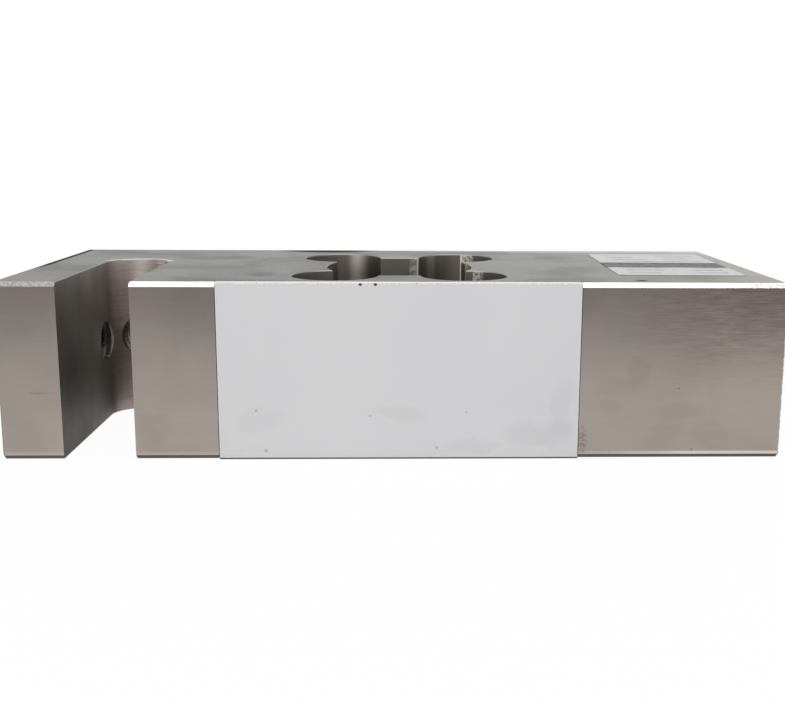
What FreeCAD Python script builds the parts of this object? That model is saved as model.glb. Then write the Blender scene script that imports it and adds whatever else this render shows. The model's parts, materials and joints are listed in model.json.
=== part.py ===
# Single point load cell, lying on one side face so that its window stands upright.
#
# One machined aluminium block carries everything. A four-lobed window leaves two thin webs under the
# front face and two under the back face; each web carries a bonded foil strain gauge. The gauges,
# their terminals, a trimming board and the bridge wires lie on the floors of a full-height recess in
# front and a deeper closed pocket behind, under white silicone compound trimmed flush with the faces.
# A U-shaped slot opens the left end to the front. Millimetres, +X along the block, -Y is the front
# face, +Z up, origin in the middle of the underside.
import FreeCAD, Part
import math
import os

V = FreeCAD.Vector
X_AXIS = V(1, 0, 0)
Y_AXIS = V(0, 1, 0)
Z_AXIS = V(0, 0, 1)

# ---- Block ----
body_length = 175.0
body_depth = 76.0
body_height = 40.0
edge_chamfer = 1.0            # on the four long edges
rim_chamfer = 0.2             # deburred rims of the window and the slot
end_chamfer = 0.3             # edges round the two end faces

# ---- Window and the webs it leaves ----
sensing_x = 1.0               # middle of the sensing section, from the block's middle
lobe_radius = 10.0
lobe_pitch = 30.0             # between lobe axes along X
lobe_spread = 40.0            # between the front and the back lobe axes
web_thickness = 2.0           # thinnest metal between a lobe and the recess floor
waist_width = 36.0            # window's width at its middle
shoulder_width = 32.0         # between the tips of the opposite tongues

# ---- Slot in the left end ----
post_thickness = 13.5         # metal left of the slot
slot_width = 16.0
slot_depth = 49.0

# ---- Threaded holes, modelled at their nominal diameter ----
mount_radius = 6.0            # M12 holes for the mounting bolts, in the back face
mount_inset = 21.5            # from either end of the block to the bolt axis
mount_blind_depth = 21.0
stop_radius = 5.0             # M10 hole across the left post
stop_setback = 39.0           # its axis, behind the front face
mouth_chamfer = 0.8           # countersink at each thread's mouth
drill_tip_angle = 118.0

# ---- Recesses and compound ----
recess_length = 81.0
recess_depth = 2.0            # at the front; the back pocket is as deep as makes all four webs equal
pocket_rim = 4.0              # metal left above and below the back pocket
pocket_corner = 5.0           # cutter radius in the back pocket's corners
compound_gap = 0.15           # shrinkage line at each end of the compound

# ---- Passages for wires and cable ----
wire_bore_radius = 2.5
wire_bore_inset = 8.0         # from the recess's right end
wire_bore_height = 9.0
cable_bore_radius = 3.0
sleeve_radius = 5.0
sleeve_length = 8.0
grommet_radius = 3.8
grommet_length = 6.0
cable_hole_radius = 2.5

# ---- Strain gauges and their terminals ----
gauge_length = 9.0
gauge_width = 7.0
film_thickness = 0.12
foil_thickness = 0.06
grid_margin = 0.7             # bare film round the grid
strand_count = 8
strand_share = 0.6            # strand's width as a share of the strand pitch
tab_length = 1.6
tab_width = 1.6
terminal_gap = 0.8            # between film and terminal strip
terminal_width = 2.6
pad_margin = 0.35
pad_pitch = 4.0
pad_height = 2.4
lead_width = 0.4
lead_thickness = 0.1

# ---- Trimming board, jumpers and flexible circuit ----
board_width = 10.0
board_height = 28.0
board_thickness = 0.8
resistor_length = 2.0
resistor_width = 1.25
resistor_thickness = 0.5
resistor_count = 5
resistor_pitch = 4.0
flex_thickness = 0.15
flex_width = 3.2
jumper_width = 0.8
branch_width = 1.2
branch_gap = 0.5              # between a back terminal strip and the branch beside it
landing = 1.6                 # length soldered down on the board

# ---- Rating label ----
label_width = 30.0
label_length = 50.0
label_thickness = 0.15
label_end_gap = 4.5           # to the right end of the block
label_back_gap = 11.2         # to the back face
label_skew = 1.5              # stuck on by hand, turned clockwise, in degrees

# ---- Derived places ----
half_length = body_length / 2
half_depth = body_depth / 2
mid_height = body_height / 2
lobe_x = lobe_pitch / 2
lobe_y = lobe_spread / 2      # from the window's middle
window_y = -half_depth + recess_depth + web_thickness + lobe_radius + lobe_y
front_floor = -half_depth + recess_depth
back_floor = window_y + lobe_y + lobe_radius + web_thickness
slot_left = -half_length + post_thickness
slot_x = slot_left + slot_width / 2
slot_end_y = -half_depth + slot_depth
slot_arc_y = slot_end_y - slot_width / 2
recess_left = sensing_x - recess_length / 2
recess_right = sensing_x + recess_length / 2
wire_bore_x = recess_right - wire_bore_inset
gauge_top = film_thickness + foil_thickness
terminal_offset = lobe_x - gauge_length / 2 - terminal_gap - terminal_width / 2
through = body_height + 2     # cutters run past both faces

SIDES = {"front": -1, "back": 1}
FLOORS = {-1: front_floor, 1: back_floor}
ENDS = {"left": -1, "right": 1}


def block(x0, x1, y0, y1, z0, z1):
    """Box between two corners, given in any order."""
    low = V(min(x0, x1), min(y0, y1), min(z0, z1))
    high = V(max(x0, x1), max(y0, y1), max(z0, z1))
    size = high - low
    return Part.makeBox(size.x, size.y, size.z, low)


def laid(side, x0, x1, z0, z1, low, high):
    """Box lying on a recess floor, between two heights above that floor."""
    return block(x0, x1, FLOORS[side] + side * low, FLOORS[side] + side * high, z0, z1)


def prism(edges, z0, height):
    """Upright prism on a closed plan outline drawn at z = 0."""
    face = Part.Face(Part.Wire(edges))
    face.translate(V(0, 0, z0))
    return face.extrude(V(0, 0, height))


def arc(start, middle, end):
    return Part.Arc(start, middle, end).toShape()


def line(start, end):
    return Part.LineSegment(start, end).toShape()


# ---- Block ----
def window_outline():
    """Closed outline of the window: flats, lobes and the two outward-bowed sides."""
    tip_x = shoulder_width / 2
    tip_y = lobe_y - math.sqrt(lobe_radius ** 2 - (tip_x - lobe_x) ** 2)
    tip_angle = math.atan2(tip_y - lobe_y, tip_x - lobe_x)
    middle_angle = (math.pi + tip_angle) / 2
    middle_x = lobe_x + lobe_radius * math.cos(middle_angle)
    middle_y = lobe_y + lobe_radius * math.sin(middle_angle)
    flat_x = lobe_x - lobe_radius

    def at(x, y):
        return V(sensing_x + x, window_y + y, 0)

    return [
        line(at(-flat_x, lobe_y), at(flat_x, lobe_y)),
        arc(at(flat_x, lobe_y), at(middle_x, middle_y), at(tip_x, tip_y)),
        arc(at(tip_x, tip_y), at(waist_width / 2, 0), at(tip_x, -tip_y)),
        arc(at(tip_x, -tip_y), at(middle_x, -middle_y), at(flat_x, -lobe_y)),
        line(at(flat_x, -lobe_y), at(-flat_x, -lobe_y)),
        arc(at(-flat_x, -lobe_y), at(-middle_x, -middle_y), at(-tip_x, -tip_y)),
        arc(at(-tip_x, -tip_y), at(-waist_width / 2, 0), at(-tip_x, tip_y)),
        arc(at(-tip_x, tip_y), at(-middle_x, middle_y), at(-flat_x, lobe_y)),
    ]


def slot_outline():
    """U outline, open past the front face, with a full-radius end."""
    slot_right = slot_left + slot_width
    mouth_y = -half_depth - 1
    return [
        line(V(slot_left, mouth_y, 0), V(slot_left, slot_arc_y, 0)),
        arc(V(slot_left, slot_arc_y, 0), V(slot_x, slot_end_y, 0), V(slot_right, slot_arc_y, 0)),
        line(V(slot_right, slot_arc_y, 0), V(slot_right, mouth_y, 0)),
        line(V(slot_right, mouth_y, 0), V(slot_left, mouth_y, 0)),
    ]


def chamfered_block():
    body = block(-half_length, half_length, -half_depth, half_depth, 0, body_height)
    long_edges = [e for e in body.Edges if abs(e.tangentAt(e.FirstParameter).x) > 0.99]
    body = body.makeChamfer(edge_chamfer, long_edges)
    ends = [e for e in body.Edges if abs(abs(e.CenterOfMass.x) - half_length) < 1e-6]
    return body.makeChamfer(end_chamfer, ends)


def deburred(body):
    """Chamfer the rims where the window and the slot meet the upper and lower faces."""
    rims = []
    for edge in body.Edges:
        centre = edge.CenterOfMass
        flat = edge.BoundBox.ZLength < 1e-6
        on_face = min(abs(centre.z), abs(centre.z - body_height)) < 1e-6
        inside = abs(centre.y) < half_depth - edge_chamfer - 0.01 and abs(centre.x) < half_length - 1
        if flat and on_face and inside:
            rims.append(edge)
    return body.makeChamfer(rim_chamfer, rims)


def countersunk_bore(mouth, inward, radius, depth, tip):
    """Cutter for a threaded hole from its mouth inwards, with a drill point if it is blind."""
    start = mouth - inward
    cutter = Part.makeCylinder(radius, depth + 1, start, inward)
    sink = Part.makeCone(radius + mouth_chamfer + 1, radius, mouth_chamfer + 1, start, inward)
    cutter = cutter.fuse(sink)
    if tip:
        tip_length = radius / math.tan(math.radians(drill_tip_angle / 2))
        cutter = cutter.fuse(Part.makeCone(radius, 0, tip_length, mouth + inward * depth, inward))
    return cutter


def threaded_holes():
    back_mouth = V(half_length - mount_inset, half_depth, mid_height)
    slot_back_mouth = V(-half_length + mount_inset, half_depth, mid_height)
    to_slot = body_depth - slot_depth + slot_width / 2
    post_mouth = V(-half_length, -half_depth + stop_setback, mid_height)
    return [
        countersunk_bore(back_mouth, -Y_AXIS, mount_radius, mount_blind_depth, True),
        countersunk_bore(slot_back_mouth, -Y_AXIS, mount_radius, to_slot, False),
        countersunk_bore(post_mouth, X_AXIS, stop_radius, post_thickness + slot_width / 4, False),
    ]


def wire_passages():
    """Cross bore between the recesses, and the cable bore that meets it from the right end."""
    front_end = V(wire_bore_x, front_floor, wire_bore_height)
    cross = Part.makeCylinder(wire_bore_radius, back_floor - front_floor, front_end, Y_AXIS)
    start = V(wire_bore_x, 0, wire_bore_height)
    cable = Part.makeCylinder(cable_bore_radius, half_length - wire_bore_x + 1, start, X_AXIS)
    seat_start = V(half_length - sleeve_length, 0, wire_bore_height)
    seat = Part.makeCylinder(sleeve_radius, sleeve_length + 1, seat_start, X_AXIS)
    return [cross, cable, seat]


def front_recess(inset=0.0):
    """Room in front of the webs, open to both decks; cutters run past the faces, fillings end at them."""
    past = 0 if inset else 1
    x0, x1 = recess_left + inset, recess_right - inset
    return block(x0, x1, front_floor, -half_depth - past, -past, body_height + past)


def back_pocket(inset=0.0):
    """Closed room behind the webs, with rounded corners; cutters run past the face, fillings end at it."""
    past = 0 if inset else 1
    x0, x1 = recess_left + inset, recess_right - inset
    room = block(x0, x1, back_floor, half_depth + past, pocket_rim, body_height - pocket_rim)
    corners = [e for e in room.Edges if abs(e.tangentAt(e.FirstParameter).y) > 0.99]
    return room.makeFillet(pocket_corner, corners)


def load_cell_body():
    body = chamfered_block()
    body = body.cut(prism(window_outline(), -1, through))
    body = body.cut(prism(slot_outline(), -1, through))
    body = deburred(body)
    cutters = [front_recess(), back_pocket()] + threaded_holes() + wire_passages()
    return body.cut(cutters)


# ---- Sensing pieces, laid on a recess floor ----
def toward_board(end, offset):
    """X of a point at the given distance from the middle of the sensing section."""
    return sensing_x + end * offset


def centred_strip(side, end, offset, length, width, low, high, z=mid_height):
    """Box on a recess floor, centred on an offset from the sensing section's middle."""
    x = toward_board(end, offset)
    return laid(side, x - length / 2, x + length / 2, z - width / 2, z + width / 2, low, high)


def gauge_film(side, end):
    return centred_strip(side, end, lobe_x, gauge_length, gauge_width, 0, film_thickness)


def gauge_grid(side, end):
    """Foil meander: strands along the block, end loops, and two solder tabs towards the board."""
    pitch = (gauge_width - 2 * grid_margin) / strand_count
    strand = pitch * strand_share
    tab_start = lobe_x - gauge_length / 2 + grid_margin
    strand_start = tab_start + tab_length
    strand_end = lobe_x + gauge_length / 2 - grid_margin

    def foil(offset_0, offset_1, z0, z1):
        x0 = toward_board(end, offset_0)
        x1 = toward_board(end, offset_1)
        return laid(side, x0, x1, z0, z1, film_thickness, gauge_top)

    lows = [mid_height + (i - strand_count / 2) * pitch + (pitch - strand) / 2 for i in range(strand_count)]
    pieces = []
    for i, low in enumerate(lows):
        outermost = i in (0, strand_count - 1)
        start = tab_start if outermost else strand_start + strand
        pieces.append(foil(start, strand_end, low, low + strand))
        if i + 1 < strand_count:
            far = i % 2 == 0
            loop_start = strand_end - strand if far else strand_start + strand
            pieces.append(foil(loop_start, loop_start + strand, low, lows[i + 1] + strand))
    pieces.append(foil(tab_start, strand_start, lows[0], lows[0] + tab_width))
    pieces.append(foil(tab_start, strand_start, lows[-1] + strand - tab_width, lows[-1] + strand))
    return pieces[0].fuse(pieces[1:]).removeSplitter()


def terminal_strip(side, end):
    return centred_strip(side, end, terminal_offset, terminal_width, gauge_width, 0, film_thickness)


def pad_heights():
    return [mid_height - pad_pitch / 2, mid_height + pad_pitch / 2]


def terminal_pads(side, end):
    length = terminal_width - 2 * pad_margin
    pads = [
        centred_strip(side, end, terminal_offset, length, pad_height, film_thickness, gauge_top, z)
        for z in pad_heights()
    ]
    return Part.makeCompound(pads)


def gauge_leads(side, end):
    """Two flat ribbons from the gauge's tabs to the outer half of the terminal pads."""
    tab_offset = lobe_x - gauge_length / 2 + grid_margin + tab_length / 2
    length = tab_offset - terminal_offset
    offset = (tab_offset + terminal_offset) / 2
    top = gauge_top + lead_thickness
    leads = [centred_strip(side, end, offset, length, lead_width, gauge_top, top, z) for z in pad_heights()]
    return Part.makeCompound(leads)


# ---- Trimming board ----
def trimming_board():
    return centred_strip(-1, 1, 0, board_width, board_height, 0, board_thickness)


def chip_resistor(index):
    z = mid_height + (index - (resistor_count - 1) / 2) * resistor_pitch
    top = board_thickness + resistor_thickness
    return centred_strip(-1, 1, 0, resistor_length, resistor_width, board_thickness, top, z)


# ---- Jumpers and flexible circuit ----
def run(side, end, offset_0, offset_1, z, width, low, high=None):
    """Flat strip along the block between two offsets, centred on a height z; thin unless told."""
    if high is None:
        high = low + flex_thickness
    x0 = toward_board(end, offset_0)
    x1 = toward_board(end, offset_1)
    return laid(side, x0, x1, z - width / 2, z + width / 2, low, high)


def climb_onto_board(end, z, width, low):
    """Fold up the board's edge from a height above the front floor, and the soldered end on top."""
    edge = board_width / 2
    return [
        run(-1, end, edge, edge + flex_thickness, z, width, low, board_thickness + flex_thickness),
        run(-1, end, edge - landing, edge, z, width, board_thickness),
    ]


def front_jumpers(end):
    """Two flat jumpers from the front terminals to the board."""
    jumpers = []
    for z in pad_heights():
        span = run(-1, end, terminal_offset, board_width / 2, z, jumper_width, gauge_top)
        fold = climb_onto_board(end, z, jumper_width, gauge_top)
        jumpers.append(span.fuse(fold).removeSplitter().Solids[0])
    return Part.makeCompound(jumpers)


def flex_branch(end):
    """Branch of the flexible circuit, from its trunk up beside a back terminal and onto both pads."""
    strip_edge = terminal_offset - terminal_width / 2
    outer = strip_edge - branch_gap
    bottom = wire_bore_height - flex_width / 2
    top = mid_height + (pad_pitch + jumper_width) / 2
    middle = (bottom + top) / 2
    pieces = [run(1, end, outer - branch_width, outer, middle, top - bottom, 0)]
    for z in pad_heights():
        high = gauge_top + flex_thickness
        pieces.append(run(1, end, outer, outer + flex_thickness, z, jumper_width, 0, high))
        pieces.append(run(1, end, outer, terminal_offset, z, jumper_width, gauge_top))
    return pieces


def flex_circuit():
    """Flexible circuit: back terminals, trunk, folded through the cross bore, front floor, board."""
    half = flex_thickness / 2
    z = wire_bore_height
    back_start = -(terminal_offset - terminal_width / 2 - branch_gap)
    bore_offset = wire_bore_x - sensing_x
    y0 = front_floor - flex_thickness
    y1 = back_floor + flex_thickness
    z0 = z - flex_width / 2
    pieces = [
        run(1, 1, back_start, bore_offset + half, z, flex_width, 0),
        block(wire_bore_x - half, wire_bore_x + half, y0, y1, z0, z0 + flex_width),
        run(-1, 1, board_width / 2, bore_offset + half, z, flex_width, 0),
    ]
    pieces += climb_onto_board(1, z, flex_width, 0)
    pieces += flex_branch(-1) + flex_branch(1)
    return pieces[0].fuse(pieces[1:]).removeSplitter()


# ---- Compound, inlet and label ----
def bore_filler(flex):
    """Silicone that fills the cross bore round the flexible circuit."""
    start = V(wire_bore_x, front_floor, wire_bore_height)
    return Part.makeCylinder(wire_bore_radius, back_floor - front_floor, start, Y_AXIS).cut(flex)


def inlet_sleeve():
    """Flanged-bore sleeve pressed into the right end, flush with it."""
    start = V(half_length - sleeve_length, 0, wire_bore_height)
    sleeve = Part.makeCylinder(sleeve_radius, sleeve_length, start, X_AXIS)
    rim = [e for e in sleeve.Edges if abs(e.BoundBox.XMin - half_length) < 1e-6 and e.BoundBox.XLength < 1e-6]
    sleeve = sleeve.makeChamfer(end_chamfer, rim)
    bore = Part.makeCylinder(cable_bore_radius, sleeve_length, start, X_AXIS)
    seat_start = V(half_length - grommet_length, 0, wire_bore_height)
    seat = Part.makeCylinder(grommet_radius, grommet_length, seat_start, X_AXIS)
    return sleeve.cut([bore, seat])


def inlet_grommet():
    start = V(half_length - grommet_length, 0, wire_bore_height)
    ring = Part.makeCylinder(grommet_radius, grommet_length, start, X_AXIS)
    return ring.cut(Part.makeCylinder(cable_hole_radius, grommet_length, start, X_AXIS))


def rating_label():
    x1 = half_length - label_end_gap
    y1 = half_depth - label_back_gap
    square_on = block(x1 - label_width, x1, y1 - label_length, y1, body_height, body_height + label_thickness)
    middle = V(x1 - label_width / 2, y1 - label_length / 2, body_height)
    return square_on.rotated(middle, Z_AXIS, -label_skew)


# ---- Assembly ----
SENSING_PIECES = {
    "gauge_film": gauge_film,
    "gauge_grid": gauge_grid,
    "terminal_strip": terminal_strip,
    "terminal_pads": terminal_pads,
    "gauge_leads": gauge_leads,
}


def sensing_nodes(side_name):
    """Every piece lying on one recess floor, by node name."""
    nodes = {}
    for end_name, end in ENDS.items():
        for kind, make in SENSING_PIECES.items():
            nodes[f"{kind}_{side_name}_{end_name}"] = make(SIDES[side_name], end)
    return nodes


def load_cell():
    front = sensing_nodes("front")
    front["trimming_board"] = trimming_board()
    for index in range(resistor_count):
        front[f"chip_resistor_{index + 1}"] = chip_resistor(index)
    for end_name, end in ENDS.items():
        front[f"front_jumpers_{end_name}"] = front_jumpers(end)
    back = sensing_nodes("back")
    flex = flex_circuit()
    nodes = {
        "load_cell_body": load_cell_body(),
        "front_compound": front_recess(compound_gap).cut([*front.values(), flex]),
        "back_compound": back_pocket(compound_gap).cut([*back.values(), flex]),
        "bore_filler": bore_filler(flex),
        "flex_circuit": flex,
        "inlet_sleeve": inlet_sleeve(),
        "inlet_grommet": inlet_grommet(),
        "rating_label": rating_label(),
    }
    return {**nodes, **front, **back}


os.makedirs("parts", exist_ok=True)
for node, shape in load_cell().items():
    lone = len(shape.Solids) == 1
    piece = shape.Solids[0] if lone else shape
    piece.exportStep(f"parts/{node}.step")
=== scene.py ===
"""Finishes and stage for a single point load cell: a milled block with bonded gauges under potting compound."""

import json
import math

import bmesh
import bpy
from bpy.props import FloatProperty, FloatVectorProperty, IntProperty, PointerProperty
from mathutils import Matrix, Vector


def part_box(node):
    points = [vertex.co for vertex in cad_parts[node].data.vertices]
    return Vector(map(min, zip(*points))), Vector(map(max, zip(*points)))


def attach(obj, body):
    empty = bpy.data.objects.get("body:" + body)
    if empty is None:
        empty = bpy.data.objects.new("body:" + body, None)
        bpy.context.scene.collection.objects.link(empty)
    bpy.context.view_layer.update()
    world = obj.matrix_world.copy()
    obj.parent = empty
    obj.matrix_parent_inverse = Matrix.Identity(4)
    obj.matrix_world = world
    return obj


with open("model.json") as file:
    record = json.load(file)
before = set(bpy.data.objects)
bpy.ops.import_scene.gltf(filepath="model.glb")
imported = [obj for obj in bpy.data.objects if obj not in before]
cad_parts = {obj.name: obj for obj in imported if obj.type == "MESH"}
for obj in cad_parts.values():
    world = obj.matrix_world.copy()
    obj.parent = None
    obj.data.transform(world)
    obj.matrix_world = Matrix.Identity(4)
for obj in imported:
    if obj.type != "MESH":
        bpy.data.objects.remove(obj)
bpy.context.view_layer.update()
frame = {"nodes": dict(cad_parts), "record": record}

bl_info = {
    "name": "Single Point Load Cell",
    "version": (1, 0, 0),
    "blender": (4, 5, 0),
    "location": "View3D > Sidebar > Load Cell",
    "description": "Dresses the load cell's solids in machined, cast and printed finishes",
    "category": "Object",
}

BLOCK_LOW, BLOCK_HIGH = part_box("load_cell_body")
LABEL_LOW, LABEL_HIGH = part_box("rating_label")
MOUNTS = {mount["name"]: mount for mount in frame["record"]["mounts"]}
OPENINGS = {opening["name"]: opening["box_m"] for opening in frame["record"]["physics"]["openings"]}
MM = 0.001
SLOT_LOW, SLOT_HIGH = (Vector(corner) for corner in OPENINGS["end_slot"])
WINDOW_LOW, WINDOW_HIGH = (Vector(corner) for corner in OPENINGS["window"])
WINDOW_Y = (WINDOW_LOW.y + WINDOW_HIGH.y) / 2
LABEL_SKEW = math.radians(1.5)
SQUARE_ON = 0.93  # a face looks along an axis when its normal has at least this share along it
SKIN = 0.05 * MM  # how close to the block's outside a point counts as on it

TONES = {
    "upper corner": (0.10, 0.07, 0.065, 1),
    "flank smudge and shade": (0.10, 0.09, 0.09, 1),
    "soiled corner": (0.10, 0.085, 0.095, 1),
    "flank pit": (0.07, 0.06, 0.055, 1),
    "worn foot": (0.74, 0.70, 0.67, 1),
    "deck glint": (0.42, 0.42, 0.41, 1),
    "slot rim highlight": (0.66, 0.62, 0.58, 1),
    "slot lip highlight": (0.95, 0.88, 0.80, 1),
    "window light": (0.90, 0.83, 0.75, 1),
    "bore shade": (0.10, 0.09, 0.08, 1),
    "bore highlight": (0.70, 0.66, 0.60, 1),
    "worn edge": (0.30, 0.24, 0.23, 1),
    "lower edge": (0.07, 0.062, 0.055, 1),
    "dark metal": (0.06, 0.055, 0.05, 1),
    "thread shade": (0.20, 0.18, 0.16, 1),
    "compound rim": (0.84, 0.84, 0.85, 1),
    "compound crumb": (0.16, 0.15, 0.15, 1),
    "compound smudge": (0.34, 0.33, 0.35, 1),
    "compound foot shadow": (0.10, 0.095, 0.10, 1),
    "compound yellow": (0.45, 0.42, 0.34, 1),
    "compound speck": (0.05, 0.045, 0.05, 1),
    "label rule": (0.20, 0.19, 0.20, 1),
    "plating groove": (0.50, 0.48, 0.43, 1),
    "plating ridge": (0.62, 0.60, 0.55, 1),
}

# Marks, in millimetres: middle, reach along each axis, strength
FLANK_SMUDGES_AND_SHADE = (
    (-79, 15.3, 2.8, 0.4, 0.26), (-54, 7.5, 6.0, 4.0, 0.08), (54.6, 20, 3.4, 5.0, 0.12),
    (50, 16.5, 5.0, 3.0, 0.08), (48.5, 12, 3.4, 2.6, 0.06), (64, 11, 7.0, 2.6, 0.07),
    # The broad spot at x -62, z 16 is painted shade that darkens the middle of the left post.
    (-83, 30, 5.0, 2.6, 0.08), (-62, 16, 24, 11, 0.10), (-82, 20, 12, 24, 0.10),
)
FLANK_PITS = ((63.8, 16.2), (67.4, 1.9), (55, 37.4), (-62.3, 27.5))
DECK_STAINS_AND_SHADOWS = (
    # The first two spots are painted shadow on the back edge; the rest are a nick and faint stains.
    (-19.5, 37, 16, 7.5, 0.9), (-84, 38, 6, 2.4, 0.9), (55.6, -33, 1.6, 1.1, 0.9),
    (-31, -22, 4.0, 6.0, 0.16), (-29, 12, 10, 7, 0.08),
)
COMPOUND_SMUDGES = (
    (32, 6, 9.8, 3.5, 0.14), (38, 12, 3.5, 8.4, 0.12), (18, 3, 7.0, 1.96, 0.10), (-30, 9, 7.0, 4.2, 0.06),
)
COMPOUND_SPECKS = (
    (-7.6, 39.6, 0.5, 1.0), (-4.3, 39.6, 0.5, 1.0), (-31, 11.2, 0.4, 0.4), (-29, 2, 0.6, 0.3),
    (-5.6, 10, 0.4, 0.3), (16, 10.8, 0.4, 0.3), (9.4, 2.6, 0.5, 0.35),
)


# ---- Shader node helpers ----
def put(tree, kind, inputs=None, **options):
    """Adds a node, sets its options, and links or fills the inputs that are named."""
    node = tree.nodes.new(kind if kind.startswith("Node") else "ShaderNode" + kind)
    for option, value in options.items():
        setattr(node, option, value)
    for key, value in (inputs or {}).items():
        if isinstance(value, bpy.types.NodeSocket):
            tree.links.new(value, node.inputs[key])
        else:
            node.inputs[key].default_value = value
    return node


def calc(tree, operation, *values, clamp=False):
    return put(tree, "Math", dict(enumerate(values)), operation=operation, use_clamp=clamp).outputs[0]


def ramp(tree, value, low, high, to_low=0.0, to_high=1.0, smooth=True):
    """Maps a value from one range to another, held at the ends."""
    inputs = {"Value": value, "From Min": low, "From Max": high, "To Min": to_low, "To Max": to_high}
    return put(tree, "MapRange", inputs, interpolation_type="SMOOTHSTEP" if smooth else "LINEAR").outputs[0]


def tint(tree, factor, under, over, mode="MIX"):
    """Lays one colour over another."""
    inputs = {0: factor, 6: under, 7: over}
    return put(tree, "Mix", inputs, data_type="RGBA", blend_type=mode).outputs[2]


def noise(tree, vector, scale, detail=3.0, roughness=0.55, distortion=0.0):
    inputs = {"Vector": vector, "Scale": scale, "Detail": detail, "Roughness": roughness}
    return put(tree, "TexNoise", {**inputs, "Distortion": distortion}).outputs["Fac"]


def stretched(tree, vector, scale, location=(0, 0, 0)):
    """The vector scaled by a different amount along each axis."""
    return put(tree, "Mapping", {"Vector": vector, "Scale": scale, "Location": location}).outputs[0]


def grey(tree, value):
    """The same value in all three channels."""
    return put(tree, "CombineColor", {0: value, 1: value, 2: value}).outputs[0]


def shade(tree, colour, value, factor=1.0):
    """Multiplies a colour by a value, wholly or in part."""
    return tint(tree, factor, colour, grey(tree, value), "MULTIPLY")


def both(tree, *masks):
    """Where all the masks are."""
    product = masks[0]
    for mask in masks[1:]:
        product = calc(tree, "MULTIPLY", product, mask)
    return product


def band(tree, value, middle, half_width, core=0.0):
    """A soft band about a place on one axis: one in its core, zero at its half width. In millimetres."""
    away = calc(tree, "ABSOLUTE", calc(tree, "SUBTRACT", value, middle * MM))
    return ramp(tree, away, half_width * MM, core * half_width * MM)


def patch(tree, at, middle, reach):
    """A soft oval spot with its reach along each axis, where zero leaves that axis out. In millimetres."""
    squares = []
    for axis, centre, half in zip("XYZ", middle, reach):
        if half:
            step = calc(tree, "DIVIDE", calc(tree, "SUBTRACT", at[axis], centre * MM), half * MM)
            squares.append(calc(tree, "MULTIPLY", step, step))
    away = squares[0]
    for square in squares[1:]:
        away = calc(tree, "ADD", away, square)
    return ramp(tree, away, 1.0, 0.15)


def wavering(tree, position, amount, scale):
    """The place of each point, wandering a little, so that spots and bands get uneven outlines."""
    drift = put(tree, "TexNoise", {"Vector": position, "Scale": scale, "Detail": 3.0}).outputs["Color"]
    drift = put(tree, "VectorMath", {0: drift, 1: (0.5, 0.5, 0.5)}, operation="SUBTRACT").outputs[0]
    drift = put(tree, "VectorMath", {0: drift, 3: amount * 2}, operation="SCALE").outputs[0]
    moved = put(tree, "VectorMath", {0: position, 1: drift}, operation="ADD").outputs[0]
    return put(tree, "SeparateXYZ", {0: moved}).outputs


def group_shell(name, inputs, outputs):
    """An empty shader node group with its sockets, and its two end nodes."""
    tree = bpy.data.node_groups.new(name, "ShaderNodeTree")
    for socket, kind, default in inputs:
        made = tree.interface.new_socket(socket, in_out="INPUT", socket_type="NodeSocket" + kind)
        if default is not None:
            made.default_value = default
    for socket, kind in outputs:
        tree.interface.new_socket(socket, in_out="OUTPUT", socket_type="NodeSocket" + kind)
    return tree, tree.nodes.new("NodeGroupInput").outputs, tree.nodes.new("NodeGroupOutput").inputs


def place(tree, name, build, inputs):
    """Places the node group of that name, built the first time it is asked for."""
    group = bpy.data.node_groups.get(name) or build(name)
    return put(tree, "Group", inputs, node_tree=group).outputs


def lines_of(tree, along, across, pitch, run):
    """Cutter lines with the given pitch, in metres, broken about every run of their length."""
    inputs = {"Along": along, "Across": across, "Pitch": pitch, "Run": run}
    return place(tree, "tool_lines", build_tool_lines, inputs)["Lines"]


def grain_of(tree, position, size):
    """Fine grain of the given size, in metres."""
    return place(tree, "fine_grain", build_fine_grain, {"Position": position, "Grain Size": size})["Grain"]


def marks_of(tree, position, stain_size):
    """Handling marks, with stains of the given size, in metres."""
    inputs = {"Position": position, "Stain Size": stain_size}
    return place(tree, "handling_marks", build_handling_marks, inputs)


# ---- Shared effects ----
def build_tool_lines(name):
    """Fine parallel lines that a cutter leaves: broken along their length, at a given pitch across."""
    tree, given, result = group_shell(
        name,
        [("Along", "Float", 0.0), ("Across", "Float", 0.0), ("Pitch", "Float", 0.0005), ("Run", "Float", 0.02)],
        [("Lines", "Float")],
    )
    across = calc(tree, "DIVIDE", given["Across"], given["Pitch"])
    along = calc(tree, "DIVIDE", given["Along"], given["Run"])
    spot = put(tree, "CombineXYZ", {"X": along, "Y": across}).outputs[0]
    fine = noise(tree, spot, 1.0, 2.0, 0.6)
    coarse = noise(tree, stretched(tree, spot, (0.6, 0.27, 1.0)), 1.0, 2.0, 0.5)
    mixed = calc(tree, "ADD", calc(tree, "MULTIPLY", fine, 0.65), calc(tree, "MULTIPLY", coarse, 0.35))
    tree.links.new(mixed, result["Lines"])
    return tree


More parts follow.
